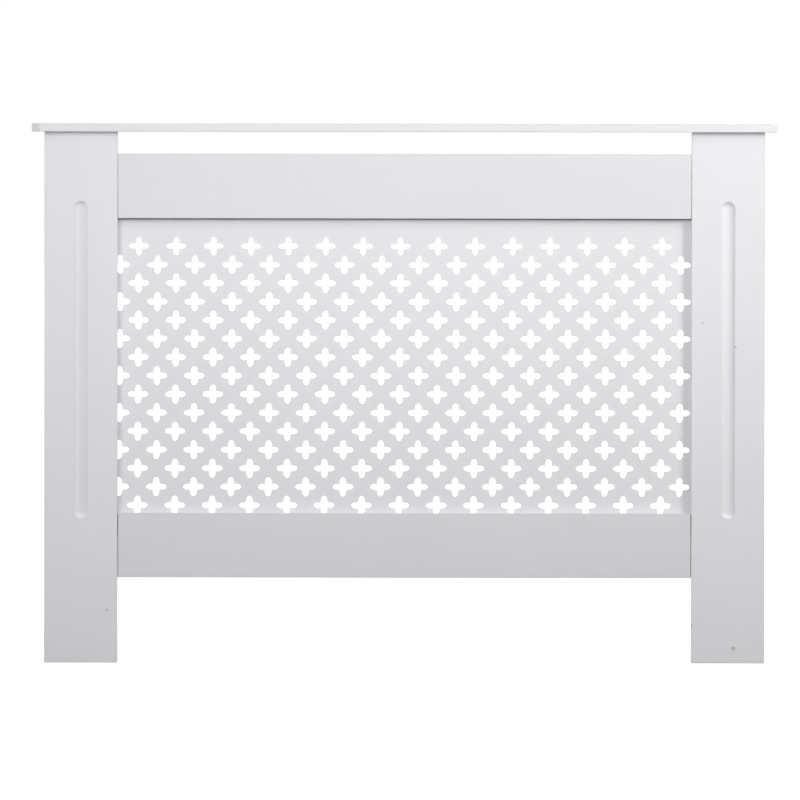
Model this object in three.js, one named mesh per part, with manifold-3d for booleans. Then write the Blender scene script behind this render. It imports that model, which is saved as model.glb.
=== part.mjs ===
// Radiator cover: a free-standing cabinet of painted fibreboard that stands over a wall radiator and is
// open at the back. Two fluted front legs, two side panels and two rails carry a shelf and a fretwork
// panel. Cam bolts, dowels and screws hold the boards together, and two angle brackets tie it to the wall.
// Millimetres, +Z up, the front towards -Y, the origin on the floor under the middle of the shelf.
import * as THREE from 'three';
import { mergeVertices } from 'three/addons/utils/BufferGeometryUtils.js';
import Module from 'manifold-3d';

// ---- Driving dimensions ----

// Shelf
const shelfWidth = 1120;
const shelfDepth = 190;
const shelfThickness = 12.5;
const shelfCornerCut = 12;
const shelfSideOverhang = 19;
const shelfFrontOverhang = 15;

// Boards under the shelf
const coverHeight = 810;
const boardThickness = 12;
const legWidth = 110;
const railHeight = 97;
const floorGap = 128; // from the floor to the lower rail
const airGap = 33; // from the upper rail to the shelf
const boardSeam = 0.1; // what the paint leaves between two boards that meet
const railEndSeam = 0.5; // the hairline at each end of a rail

// The upright flute in each leg, cut by a round-nosed cutter
const fluteWidth = 21;
const fluteDepth = 5;
const fluteRise = 217; // from the floor to its lower end
const fluteDrop = 104; // from the shelf to its upper end

// The notch for the skirting board in each side panel
const notchHeight = 125;
const notchDepth = 25;

// Fretwork panel, and its staggered rows of four-petal holes
const fretThickness = 3;
const fretLap = 26; // how far the panel reaches behind the rails and legs
const fretRows = 15;
const fretColumns = 15; // holes in an odd row, and every even row has one more
const topRowDrop = 42; // from the upper rail to the middle of the top row
const bottomRowRise = 11; // from the lower rail to the middle of the bottom row
const outerHoleInset = 9.8; // from a leg to the middle of the outermost hole, before the shift
const fretShift = -6.5; // the pattern sits this far off the middle, to the left
const acrossReach = 15.4; // from a hole's middle to the tip of a petal that lies across
const acrossHalfWidth = 4.8;
const uprightReach = 14.6; // the same, for a petal that stands upright
const uprightHalfWidth = 5.4;
const petalEndReach = 0.96; // where the two points of a petal's rounded end lie, as a share of its reach
const petalEndWidth = 0.66; // and of its half width

// Cam fittings
const camRadius = 6;
const camDistance = 24; // from the joint to the middle of the cam
const camFloor = 2; // board left under the cam
const camSlotPast = 3.5; // how far the cam's slot runs past its middle
const boltRadius = 2.5;
const boltNeckRadius = 1.5;
const boltNeckLength = 4;
const boltHeadLength = 2.5;

// Dowels, and how far from a board's end each fixing sits
const dowelRadius = 3;
const dowelLength = 30;
const boreFloor = 3.5; // board left under a bore in a board's face
const railCamInset = 32; // from a rail's lower edge
const railDowelInset = 32; // from its upper edge
const sideCamInset = 110; // from each end of a side panel's front edge
const sideDowelStep = 45; // from a side panel's cam to its dowel, further in
const shelfCamSetback = 78; // from a side panel's front edge
const shelfDowelSetback = 128; // from a side panel's front edge

// Screws
const screwRadius = 1.5;
const screwLength = 12;
const screwTip = 3;
const screwHeadRadius = 3.2;
const screwHeadTopRadius = 2.2;
const screwHeadHeight = 1.8;
const screwEdge = 6.5; // from the fretwork panel's edge to a screw
const screwedRows = [4, 10]; // the odd rows, with the top one as 0, beside which a leg takes a screw

// Wall brackets
const bracketHeight = 25;
const bracketThickness = 2;
const bracketBend = 1; // radius inside the bend
const bracketSideLeaf = 30;
const bracketWallLeaf = 40;
const bracketDrop = 30; // from the shelf to the bracket
const bracketScrewSetback = 19; // from the bracket's bend to its screw
const wallHoleRadius = 2.75;
const wallHoleSetback = 27; // from the bracket's bend to the hole for the wall screw

// Clearances, and the number of flats on round pieces
const fitGap = 0.3;
const overcut = 1; // how far a cut runs out past the face that it enters
const pinSides = 6;
const camSides = 8;
const holeSides = 8;
const fluteSides = 16;
const fluteEndSteps = 4;

// ---- Places worked out from them ----

const bodyHalfWidth = shelfWidth / 2 - shelfSideOverhang;
const legInnerX = bodyHalfWidth - legWidth;
const legCentreX = bodyHalfWidth - legWidth / 2;
const railHalfLength = legInnerX - railEndSeam;
const sideInnerX = bodyHalfWidth - boardThickness;
const sideCentreX = bodyHalfWidth - boardThickness / 2;

const wallY = shelfDepth / 2;
const frontY = shelfFrontOverhang - wallY;
const frameBackY = frontY + boardThickness;
const frameCentreY = frontY + boardThickness / 2;
const sideFrontY = frameBackY + boardSeam;
const fretFrontY = frameBackY + boardSeam;
const fretBackY = fretFrontY + fretThickness;

const shelfUnderZ = coverHeight - shelfThickness;
const boardTopZ = shelfUnderZ - boardSeam;
const lowerRailTopZ = floorGap + railHeight;
const upperRailBottomZ = shelfUnderZ - airGap - railHeight;
const topRowZ = upperRailBottomZ - topRowDrop;
const rowPitch = (topRowZ - lowerRailTopZ - bottomRowRise) / (fretRows - 1);
const columnPitch = 2 * (legInnerX - outerHoleInset) / fretColumns;

// ---- Finishes ----

const whitePaint = { color: 0xe8eaec, roughness: 0.45, metalness: 0 };
const zinc = { color: 0xb4b7bb, roughness: 0.4, metalness: 0.9 };
const beech = { color: 0xcaa673, roughness: 0.7, metalness: 0 };

// ---- Solids ----

const wasm = await Module();
wasm.setup();

// A closed three.js geometry as a solid, with its seams merged and its slivers at a pole left out.
function solidOf(geometry, matrix = new THREE.Matrix4()) {
  const shape = geometry.clone();
  shape.deleteAttribute('normal');
  shape.deleteAttribute('uv');
  const merged = mergeVertices(shape.applyMatrix4(matrix), 1e-4);
  const corners = [];
  for (let i = 0; i < merged.index.count; i += 3) {
    const [a, b, c] = [0, 1, 2].map((k) => merged.index.getX(i + k));
    if (a !== b && b !== c && c !== a) corners.push(a, b, c);
  }
  return new wasm.Manifold(new wasm.Mesh({
    numProp: 3,
    vertProperties: new Float32Array(merged.attributes.position.array),
    triVerts: new Uint32Array(corners),
  }));
}

// A solid as a named mesh.
function meshOf(name, solid, finish) {
  const { vertProperties, triVerts } = solid.getMesh();
  const geometry = new THREE.BufferGeometry();
  geometry.setAttribute('position', new THREE.BufferAttribute(new Float32Array(vertProperties), 3));
  geometry.setIndex(new THREE.BufferAttribute(new Uint32Array(triVerts), 1));
  geometry.computeVertexNormals();
  const mesh = new THREE.Mesh(geometry, new THREE.MeshStandardMaterial({ ...finish, flatShading: true }));
  mesh.name = name;
  return mesh;
}

// A box between two corners.
function boxBetween(low, high) {
  const [size, centre] = [high.clone().sub(low), high.clone().add(low).multiplyScalar(0.5)];
  return new THREE.BoxGeometry(size.x, size.y, size.z).translate(centre.x, centre.y, centre.z);
}

// A flat shape extruded along local Z, with an even number of sides to each full circle in it.
function extruded(shape, from, to, sides = camSides) {
  const settings = { depth: to - from, curveSegments: sides / 2, bevelEnabled: false };
  return new THREE.ExtrudeGeometry(shape, settings).translate(0, 0, from);
}

// A round rod along local Z.
function rodBetween(radius, from, to, sides) {
  return extruded(new THREE.Shape().absarc(0, 0, radius, 0, 2 * Math.PI), from, to, sides);
}

// A turned piece: its profile's points are [radius, height], its axis becomes local Z, and its flats lie as a
// rod's do.
function turned(profile, sides) {
  const points = profile.map(([radius, height]) => new THREE.Vector2(radius, height));
  return new THREE.LatheGeometry(points, sides).rotateX(Math.PI / 2).rotateZ(Math.PI / 2);
}

// A flat shape from its corners, [x, y] each.
function shapeOf(corners) {
  return new THREE.Shape(corners.map(([x, y]) => new THREE.Vector2(x, y)));
}

// The place of a piece: local Z along up and local X along side, at a point of the cover.
function placeAt(point, up, side) {
  return new THREE.Matrix4().makeBasis(side, up.clone().cross(side), up).setPosition(point);
}

const at = (x, y, z) => new THREE.Vector3(x, y, z);

// ---- Fixings: where they sit, what they are, and the bores that they need ----

// A fixing sits on the face where two boards meet, and "into" points from the board that takes its short
// end to the board that takes its long end. "open" is the way out of the face that a cam is pressed into.
const camJoints = [];
const dowels = [];
const screws = [];
const faceSeat = boardThickness - boreFloor; // how deep a bolt or dowel goes into a board's face
for (const [hand, sign] of [['left', -1], ['right', 1]]) {
  const [inward, back, down] = [at(-sign, 0, 0), at(0, 1, 0), at(0, 0, -1)];

  for (const [rail, bottomZ] of [['upper', upperRailBottomZ], ['lower', floorGap]]) {
    const onLeg = (z) => at(sign * legInnerX, frameCentreY, z);
    const name = `${rail}_rail_${hand}`;
    camJoints.push({ name, point: onLeg(bottomZ + railCamInset), into: inward, open: back });
    const dowelPoint = onLeg(bottomZ + railHeight - railDowelInset);
    dowels.push({ name: `${name}_dowel`, point: dowelPoint, into: inward, short: dowelLength / 2 });
  }

  const onLegBack = (z) => at(sign * sideCentreX, frameBackY, z);
  for (const [end, z, step] of [['upper', boardTopZ - sideCamInset, -1], ['lower', sideCamInset, 1]]) {
    camJoints.push({ name: `${hand}_side_${end}`, point: onLegBack(z), into: back, open: inward });
    const point = onLegBack(z + step * sideDowelStep);
    dowels.push({ name: `${hand}_side_${end}_dowel`, point, into: back, short: faceSeat });
  }

  const underShelf = (x, y) => at(sign * x, y, shelfUnderZ);
  const camPoint = underShelf(sideCentreX, sideFrontY + shelfCamSetback);
  camJoints.push({ name: `${hand}_shelf`, point: camPoint, into: down, open: inward });
  const rearPoint = underShelf(sideCentreX, sideFrontY + shelfDowelSetback);
  dowels.push({ name: `${hand}_shelf_rear_dowel`, point: rearPoint, into: down, short: faceSeat });
  const legPoint = underShelf(legCentreX, frameCentreY);
  dowels.push({ name: `${hand}_shelf_front_dowel`, point: legPoint, into: down, short: faceSeat });

  const strip = fretLap - screwEdge; // from a rail's or leg's edge to the screws behind it
  const onFret = (x, z) => at(sign * x, fretBackY, z);
  for (const [rail, z] of [['upper', upperRailBottomZ + strip], ['lower', lowerRailTopZ - strip]]) {
    screws.push({ name: `fretwork_screw_${rail}_${hand}`, point: onFret(legInnerX / 2, z), out: back });
  }
  for (const [index, row] of screwedRows.entries()) {
    const name = `fretwork_screw_${hand}_leg_${index + 1}`;
    screws.push({ name, point: onFret(legInnerX + strip, topRowZ - row * rowPitch), out: back });
  }
  const leafX = sideInnerX - boardSeam - bracketThickness;
  const leafZ = shelfUnderZ - bracketDrop - bracketHeight / 2;
  const leafPoint = at(sign * leafX, wallY - bracketScrewSetback, leafZ);
  screws.push({ name: `${hand}_bracket_screw`, point: leafPoint, out: inward });
}

const dowelPlace = ({ point, into }) => placeAt(point, into, crossways(into));
const boltPlace = dowelPlace;
const screwPlace = ({ point, out }) => placeAt(point, out, crossways(out));
const camPlace = ({ point, into, open }) => (
  placeAt(point.clone().addScaledVector(into, camDistance), open, into)
);

// A direction square to the given one.
function crossways(direction) {
  return Math.abs(direction.z) > 0.5 ? at(1, 0, 0) : at(0, 0, 1);
}

// Every bore in one solid. A bore runs through both boards of its joint, so that they line up.
function allBores() {
  const bores = [];
  for (const joint of camJoints) {
    const boltBore = rodBetween(boltRadius + fitGap, -faceSeat - fitGap, camDistance, pinSides);
    const pocketFloor = camFloor - boardThickness / 2;
    const pocket = rodBetween(camRadius + fitGap, pocketFloor, boardThickness / 2 + overcut, camSides);
    bores.push(solidOf(boltBore, boltPlace(joint)), solidOf(pocket, camPlace(joint)));
  }
  for (const dowel of dowels) {
    const [from, to] = [-dowel.short - fitGap, dowelLength - dowel.short + fitGap];
    bores.push(solidOf(rodBetween(dowelRadius + fitGap, from, to, pinSides), dowelPlace(dowel)));
  }
  for (const screw of screws) {
    const bore = rodBetween(screwRadius + fitGap, -screwLength - fitGap, overcut, pinSides);
    bores.push(solidOf(bore, screwPlace(screw)));
  }
  return wasm.Manifold.union(bores);
}
const bores = allBores();

// A board in the cover's frame gets its bores, and becomes a mesh placed at the middle of its box.
function boredMesh(name, solid, finish) {
  const bored = solid.subtract(bores);
  const { min, max } = bored.boundingBox();
  const centre = min.map((low, i) => (low + max[i]) / 2);
  const mesh = meshOf(name, bored.translate(centre.map((value) => -value)), finish);
  mesh.position.set(...centre);
  return mesh;
}

// ---- Boards ----

// The shelf has its two front corners cut off at 45 degrees.
function shelf() {
  const [x, back, front, cut] = [shelfWidth / 2, wallY, -wallY, shelfCornerCut];
  const outline = shapeOf([
    [-x, back], [-x, front + cut], [-x + cut, front], [x - cut, front], [x, front + cut], [x, back],
  ]);
  return boredMesh('shelf', solidOf(extruded(outline, shelfUnderZ, coverHeight)), whitePaint);
}

// A front leg, with its upright flute: the path of a ball-nosed cutter that stands proud of the face.
function leg(hand, sign) {
  const low = at(sign * legCentreX - legWidth / 2, frontY, 0);
  const high = at(sign * legCentreX + legWidth / 2, frameBackY, boardTopZ);
  const cutterRadius = (fluteWidth ** 2 / 4 + fluteDepth ** 2) / (2 * fluteDepth);
  const [bottomZ, topZ] = [fluteRise + fluteWidth / 2, shelfUnderZ - fluteDrop - fluteWidth / 2];
  const cutter = new THREE.CapsuleGeometry(cutterRadius, topZ - bottomZ, fluteEndSteps, fluteSides);
  const cutterY = frontY + fluteDepth - cutterRadius;
  cutter.rotateX(Math.PI / 2).translate(sign * legCentreX, cutterY, (bottomZ + topZ) / 2);
  return boredMesh(`${hand}_leg`, solidOf(boxBetween(low, high)).subtract(solidOf(cutter)), whitePaint);
}

// A rail between the legs, its front face level with theirs.
function rail(name, bottomZ) {
  const low = at(-railHalfLength, frontY, bottomZ);
  const high = at(railHalfLength, frameBackY, bottomZ + railHeight);
  return boredMesh(name, solidOf(boxBetween(low, high)), whitePaint);
}

// A side panel from the back of its leg to the wall, notched for the skirting board.
function sidePanel(hand, sign) {
  const outline = shapeOf([
    [sideFrontY, 0], [wallY - notchDepth, 0], [wallY - notchDepth, notchHeight], [wallY, notchHeight],
    [wallY, boardTopZ], [sideFrontY, boardTopZ],
  ]);
  const slab = extruded(outline, -boardThickness / 2, boardThickness / 2);
  const upright = placeAt(at(sign * sideCentreX, 0, 0), at(1, 0, 0), at(0, 1, 0));
  return boredMesh(`${hand}_side_panel`, solidOf(slab, upright), whitePaint);
}

// ---- Fretwork panel ----

// One hole: four petals, two across and two upright. Neighbouring petals meet in a sharp inner corner, and
// two points stand for the rounded end of a petal. The outline runs a quarter at a time, anticlockwise.
function fretHole(centreX, centreZ) {
  const acrossEnd = [acrossReach * petalEndReach, acrossHalfWidth * petalEndWidth];
  const innerCorner = [uprightHalfWidth, acrossHalfWidth];
  const uprightEnd = [uprightHalfWidth * petalEndWidth, uprightReach * petalEndReach];
  const outline = [];
  for (const [signX, signZ] of [[1, 1], [-1, 1], [-1, -1], [1, -1]]) {
    const quarter = [acrossEnd, innerCorner, uprightEnd].map(([x, z]) => (
      new THREE.Vector2(centreX + signX * x, centreZ + signZ * z)
    ));
    outline.push(...(signX === signZ ? quarter : quarter.reverse()));
  }
  return new THREE.Path(outline);
}

// The panel: odd rows have fretColumns holes, and the rows between them one more, half a pitch over.
function fretworkPanel() {
  const halfWidth = legInnerX + fretLap;
  const [lowZ, highZ] = [lowerRailTopZ - fretLap, upperRailBottomZ + fretLap];
  const shape = shapeOf([[-halfWidth, lowZ], [halfWidth, lowZ], [halfWidth, highZ], [-halfWidth, highZ]]);
  for (let row = 0; row < fretRows; row += 1) {
    const steps = row % 2 === 0 ? fretColumns - 1 : fretColumns;
    for (let step = 0; step <= steps; step += 1) {
      shape.holes.push(fretHole(fretShift + (step - steps / 2) * columnPitch, topRowZ - row * rowPitch));
    }
  }
  const facingFront = placeAt(at(0, fretBackY, 0), at(0, -1, 0), at(1, 0, 0));
  return boredMesh('fretwork_panel', solidOf(extruded(shape, 0, fretThickness), facingFront), whitePaint);
}

// ---- Fittings ----

// A cam: a round plug, slotted from one side to past its middle so that the bolt's head drops in.
function cam(joint) {
  const bottom = camFloor - boardThickness / 2 + fitGap;
  const plug = rodBetween(camRadius, bottom, boardThickness / 2 - boardSeam, camSides);
  const halfSlot = boltRadius + fitGap;
  const slot = boxBetween(
    at(-camRadius - overcut, -halfSlot, bottom - overcut),
    at(camSlotPast, halfSlot, halfSlot),
  );
  return placed(meshOf(`${joint.name}_cam`, solidOf(plug).subtract(solidOf(slot)), zinc), camPlace(joint));
}

// A cam bolt: a plain shank, screwed into one board, with a waisted head in the other board's cam.
function camBolt(joint) {
  const [headStart, headEnd] = [camDistance - boltHeadLength / 2, camDistance + boltHeadLength / 2];
  const bolt = turned([
    [0, -faceSeat], [boltRadius, -faceSeat], [boltRadius, headStart - boltNeckLength],
    [boltNeckRadius, headStart - boltNeckLength], [boltNeckRadius, headStart], [boltRadius, headStart],
    [boltRadius, headEnd], [0, headEnd],
  ], pinSides);
  return placed(meshOf(`${joint.name}_bolt`, solidOf(bolt), zinc), boltPlace(joint));
}

// A plain wooden dowel.
function dowelPin(dowel) {
  const pin = rodBetween(dowelRadius, -dowel.short, dowelLength - dowel.short, pinSides);
  return placed(meshOf(dowel.name, solidOf(pin), beech), dowelPlace(dowel));
}

// A small wood screw with a domed head.
function woodScrew(screw) {
  const shape = turned([
    [0, -screwLength], [screwRadius, screwTip - screwLength], [screwRadius, boardSeam],
    [screwHeadRadius, boardSeam], [screwHeadTopRadius, screwHeadHeight], [0, screwHeadHeight],
  ], pinSides);
  return placed(meshOf(screw.name, solidOf(shape), zinc), screwPlace(screw));
}

// An angle bracket bent from strip: one leaf on the side panel, the other flat against the wall. Its outline
// is drawn in plan, in distances inward from the side panel and forward from the wall.
function bracket(hand, sign) {
  const thickness = bracketThickness;
  const bendCentre = thickness + bracketBend;
  const bend = (radius, from, to) => [0, 1, 2].map((step) => {
    const angle = THREE.MathUtils.degToRad(from + (to - from) * step / 2);
    return [bendCentre + radius * Math.cos(angle), bendCentre + radius * Math.sin(angle)];
  });
  const outline = [
    [0, bracketSideLeaf], [thickness, bracketSideLeaf], ...bend(bracketBend, 180, 270),
    [bracketWallLeaf, thickness], [bracketWallLeaf, 0], ...bend(bendCentre, 270, 180),
  ];
  const fromSide = (inward) => sign * (sideInnerX - boardSeam - inward);
  const shape = shapeOf(outline.map(([inward, forward]) => [fromSide(inward), wallY - forward]));
  const lowZ = shelfUnderZ - bracketDrop - bracketHeight;
  const strip = extruded(shape, lowZ, lowZ + bracketHeight);
  const wallHole = rodBetween(wallHoleRadius, -overcut, thickness + overcut, holeSides);
  const holePoint = at(fromSide(wallHoleSetback), wallY, lowZ + bracketHeight / 2);
  const cut = solidOf(wallHole, placeAt(holePoint, at(0, -1, 0), at(0, 0, 1)));
  return boredMesh(`${hand}_wall_bracket`, solidOf(strip).subtract(cut), zinc);
}

// A mesh modelled about its own origin is set in its place.
function placed(mesh, matrix) {
  mesh.applyMatrix4(matrix);
  return mesh;
}

// ---- The cover ----

const frame = new THREE.Group();
frame.add(shelf(), rail('upper_rail', upperRailBottomZ), rail('lower_rail', floorGap));
for (const [hand, sign] of [['left', -1], ['right', 1]]) {
  frame.add(leg(hand, sign), sidePanel(hand, sign), bracket(hand, sign));
}

const fretwork = new THREE.Group();
fretwork.add(fretworkPanel(), ...screws.map(woodScrew));

const fittings = new THREE.Group();
fittings.add(...camJoints.flatMap((joint) => [cam(joint), camBolt(joint)]), ...dowels.map(dowelPin));

const cover = new THREE.Group();
cover.add(frame, fretwork, fittings);

export default cover;
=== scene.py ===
# Radiator cover: a free-standing cabinet of sprayed fibreboard that stands over a wall radiator.
# Metres, +Z up, the front towards -Y, the origin on the floor under the middle of the shelf.
import math

import bmesh
import bpy
import numpy as np
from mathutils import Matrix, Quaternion, Vector


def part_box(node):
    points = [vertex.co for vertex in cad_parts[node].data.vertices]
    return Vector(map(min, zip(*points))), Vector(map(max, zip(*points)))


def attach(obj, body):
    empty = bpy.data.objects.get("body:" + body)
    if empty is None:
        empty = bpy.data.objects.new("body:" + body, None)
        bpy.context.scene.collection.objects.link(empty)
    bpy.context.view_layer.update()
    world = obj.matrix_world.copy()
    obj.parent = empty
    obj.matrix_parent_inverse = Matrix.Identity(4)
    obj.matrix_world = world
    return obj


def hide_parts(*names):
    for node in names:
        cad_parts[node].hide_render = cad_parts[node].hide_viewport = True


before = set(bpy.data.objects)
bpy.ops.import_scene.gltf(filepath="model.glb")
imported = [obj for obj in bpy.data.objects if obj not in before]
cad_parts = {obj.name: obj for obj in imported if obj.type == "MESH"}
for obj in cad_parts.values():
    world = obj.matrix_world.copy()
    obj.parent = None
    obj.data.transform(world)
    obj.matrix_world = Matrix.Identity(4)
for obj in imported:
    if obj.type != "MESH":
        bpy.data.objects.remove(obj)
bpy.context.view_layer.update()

# ---- Camera ----
# The cover is seen square from the front and from far off, level with the underside of its shelf, so that
# neither the shelf's top nor its underside shows. The view leans down to the middle of the cover.
mm = 0.001
view_width = 1.2004  # what the picture takes in across, at the shelf's front edge
view_centre_x = -6.7 * mm
view_centre_z = 395.4 * mm
view_roll = math.radians(0.08)
lens_length = 600 * mm
sensor_width = 36 * mm


def box_corners(node):
    """The low and the high corner of a node's box."""
    return [np.array(corner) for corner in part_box(node)]


shelf_low, shelf_high = box_corners("shelf")
camera = bpy.data.objects.new("camera", bpy.data.cameras.new("camera"))
bpy.context.scene.collection.objects.link(camera)
bpy.context.scene.camera = camera
camera.data.lens = lens_length / mm
camera.data.sensor_width = sensor_width / mm
camera.data.clip_end = 100
camera.location = (view_centre_x, shelf_low[1] - view_width * lens_length / sensor_width, shelf_low[2])
view_direction = Vector((view_centre_x, shelf_low[1], view_centre_z)) - camera.location
camera.rotation_mode = "QUATERNION"
camera.rotation_quaternion = view_direction.to_track_quat("-Z", "Y") @ Quaternion((0, 0, 1), view_roll)

# ---- Legs ----
# Two front legs of medium-density fibreboard, sawn from 12 mm sheet, with eased arrises. A ball-nosed
# cutter made the upright flute in each before they were sprayed. They are bored for dowels and cam bolts.
arris = 0.8 * mm
corner_radius = 1.2 * mm
flute_width = 21 * mm
flute_depth = 5 * mm
flute_rise = 217 * mm  # from the floor to its lower end
flute_drop = 104 * mm  # from the shelf to its upper end
bore_gap = 0.2 * mm
overcut = 1 * mm
screw_radius = 1.5 * mm
paint_colour = (0.80, 0.80, 0.826, 1)
paint_mottle = 0.05  # how far its tone swings
paint_roughness = 0.52
paint_specular = 0.35
peel_depth = 0.012 * mm
knock_height = 30.0  # a knock's relief, as a multiple of the peel's
fibre_colour = (0.44, 0.31, 0.19)


def rounded_outline(corners, radius, steps=4):
    """A flat polygon's line with its corners rounded, and the outward normals along it.

    The corners run anticlockwise. At each, an arc touches both sides: its middle lies back along the two
    normals, by the radius times their sum over one plus their product, and its points turn from one
    normal to the other in equal angles. A corner that points inwards gets its arc from the other side.
    """
    corners = np.asarray(corners, float)
    before = corners - np.roll(corners, 1, axis=0)
    after = np.roll(corners, -1, axis=0) - corners
    before /= np.linalg.norm(before, axis=1, keepdims=True)
    after /= np.linalg.norm(after, axis=1, keepdims=True)
    first = np.stack([before[:, 1], -before[:, 0]], 1)
    last = np.stack([after[:, 1], -after[:, 0]], 1)
    cosine = (first * last).sum(1, keepdims=True)
    turn = np.arctan2(before[:, 0] * after[:, 1] - before[:, 1] * after[:, 0], cosine[:, 0])
    side = np.sign(turn)[:, None]
    middles = corners - side * radius * (first + last) / (1 + cosine)
    angle = turn[:, None] * np.linspace(0, 1, steps + 1)[None, :]
    normals = np.stack([
        first[:, :1] * np.cos(angle) - first[:, 1:] * np.sin(angle),
        first[:, :1] * np.sin(angle) + first[:, 1:] * np.cos(angle),
    ], -1)
    points = middles[:, None] + side[:, None] * radius * normals
    return points.reshape(-1, 2), normals.reshape(-1, 2)


def tube_faces(rings, around, capped=True):
    """The faces of a closed tube whose rings follow each other, with a flat face at each end if capped."""
    start = np.arange(rings - 1)[:, None] * around
    here = np.arange(around)[None, :]
    after = (here + 1) % around
    quads = np.stack([start + here, start + after, start + around + after, start + around + here], -1)
    faces = quads.reshape(-1, 4).tolist()
    if capped:
        last = (rings - 1) * around
        faces += [list(range(around))[::-1], list(range(last, last + around))]
    return faces


def stacked_lines(lines, heights, capped=True):
    """Closed lines in one plane, each point of them at its height: the points and faces of a tube."""
    heights = np.broadcast_to(heights, lines.shape[:2])[..., None]
    points = np.concatenate([lines, heights], -1).reshape(-1, 3)
    return points, tube_faces(*lines.shape[:2], capped)


def board_surface(corners, thickness, radius=corner_radius, easing=arris, steps=3):
    """A board: its rounded outline carried through its thickness, and drawn in at each face.

    At an angle a from 0 to a right angle, the outline is drawn in by the easing times one less the sine
    of a, at a depth of the easing times one less the cosine, so that the arris is a quarter circle.
    """
    points, normals = rounded_outline(corners, radius)
    angle = np.linspace(0, math.pi / 2, steps + 1)
    drawn_in, depth = easing * (1 - np.sin(angle)), easing * (1 - np.cos(angle))
    inset = np.concatenate([drawn_in, drawn_in[::-1]])
    height = np.concatenate([depth, thickness - depth[::-1]])
    flat = points[None] - inset[:, None, None] * normals[None]
    return stacked_lines(flat, height[:, None])


def front_board(low, high):
    """A rectangular board that fills a box and faces the front, in X, Z and the way forward from its back."""
    corners = [(low[0], low[2]), (high[0], low[2]), (high[0], high[2]), (low[0], high[2])]
    return board_surface(corners, high[1] - low[1])


def ringed_surface(rings, angle):
    """A surface of rings round the upright axis. A ring is a radius and a height, and each of the two is
    one number or one for every angle."""
    rings = np.array([np.broadcast_arrays(*ring, angle)[:2] for ring in rings])
    radius, height = rings.swapaxes(0, 1)
    return stacked_lines(np.stack([radius * np.cos(angle), radius * np.sin(angle)], -1), height)


def turned_surface(profile, around=32):
    """A turned piece: the profile's points, each a radius and a height, carried round the upright axis."""
    return ringed_surface(profile, np.arange(around) * 2 * math.pi / around)


def placed(points, origin, across, along):
    """Points moved from their own axes to the cover's: X goes across, Z along, and Y square to both."""
    across, along = np.asarray(across, float), np.asarray(along, float)
    return np.asarray(origin, float) + points @ np.stack([across, np.cross(along, across), along])


def facing_front(points, back_y):
    """Points of X, Z and the way forward from the back, moved to the cover's axes."""
    return placed(points, (0, back_y, 0), (1, 0, 0), (0, -1, 0))


def new_mesh(name, points, faces, material):
    """A mesh of one material, from its points and faces."""
    mesh = bpy.data.meshes.new(name)
    mesh.from_pydata(points.tolist(), [], faces)
    mesh.materials.append(material)
    return mesh


def new_piece(name, points, faces, material):
    """An object of the scene at the origin, its place in its mesh."""
    piece = bpy.data.objects.new(name, new_mesh(name, points, faces, material))
    bpy.context.scene.collection.objects.link(piece)
    return piece


def cut_away(piece, points, faces, material):
    """Cuts a closed surface out of a piece. The cut faces take the cutter's material."""
    cutter = new_piece("cutter", points, faces, material)
    boolean = piece.modifiers.new("cut", "BOOLEAN")
    boolean.object = cutter
    boolean.operation = "DIFFERENCE"
    boolean.solver = "EXACT"
    boolean.use_self = True
    boolean.material_mode = "TRANSFER"
    whole = bpy.context.evaluated_depsgraph_get()
    cut_mesh = bpy.data.meshes.new_from_object(piece.evaluated_get(whole))
    piece.modifiers.clear()
    old_mesh, piece.data = piece.data, cut_mesh
    bpy.data.meshes.remove(old_mesh)
    bpy.data.objects.remove(cutter)


def joined(surfaces):
    """Several surfaces, each its points and faces, as one."""
    points, faces = [], []
    for some_points, some_faces in surfaces:
        start = sum(len(part) for part in points)
        points.append(some_points)
        faces += [[start + corner for corner in face] for face in some_faces]
    return np.concatenate(points), faces


def fitting_line(node):
    """A fitting's centre line, read from its box. A cam is shortest along its axis, and the others longest.

    Gives the number of the axis, the two ends on it, the middle point and the radius across it.
    """
    low, high = box_corners(node)
    size = high - low
    axis = int(size.argmin() if node.endswith("_cam") else size.argmax())
    return axis, low[axis], high[axis], (low + high) / 2, np.delete(size, axis).max() / 2


def bore_of(node, board_low, board_high):
    """The bore that a fitting sits in: a round rod along its centre line, a little wider and longer than
    the fitting. A cam's runs out through the nearer face of the board, as its bit came in there."""
    axis, low, high, middle, radius = fitting_line(node)
    low, high = low - bore_gap, high + bore_gap
    if node.endswith("_cam"):
        nearer_high = middle[axis] > (board_low[axis] + board_high[axis]) / 2
        low, high = (low, board_high[axis] + overcut) if nearer_high else (board_low[axis] - overcut, high)
    radius = (screw_radius if "screw" in node else radius) + bore_gap
    points, faces = turned_surface([[radius, low], [radius, high]])
    along, across = np.eye(3)[axis], np.eye(3)[(axis + 1) % 3]
    return placed(points, middle * (1 - along), across, along), faces


def bore_board(piece, node):
    """Cuts the bores of all the fittings that reach into a board."""
    low, high = box_corners(node)
    bores = []
    for name in sorted(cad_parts):
        if "screw" not in name and not name.endswith(("_cam", "_bolt", "_dowel")):
            continue
        fitting_low, fitting_high = box_corners(name)
        if (fitting_low < high).all() and (fitting_high > low).all():
            bores.append(bore_of(name, low, high))
    cut_away(piece, *joined(bores), fibreboard)


def shade(piece, sharp_angle=38):
    """Smooth shading that keeps edges over the angle sharp and lets the large flat faces stay flat."""
    piece.data.shade_smooth()
    piece.data.set_sharp_from_angle(angle=math.radians(sharp_angle))
    flatten = piece.modifiers.new("flat faces", "WEIGHTED_NORMAL")
    flatten.keep_sharp = True


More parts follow.
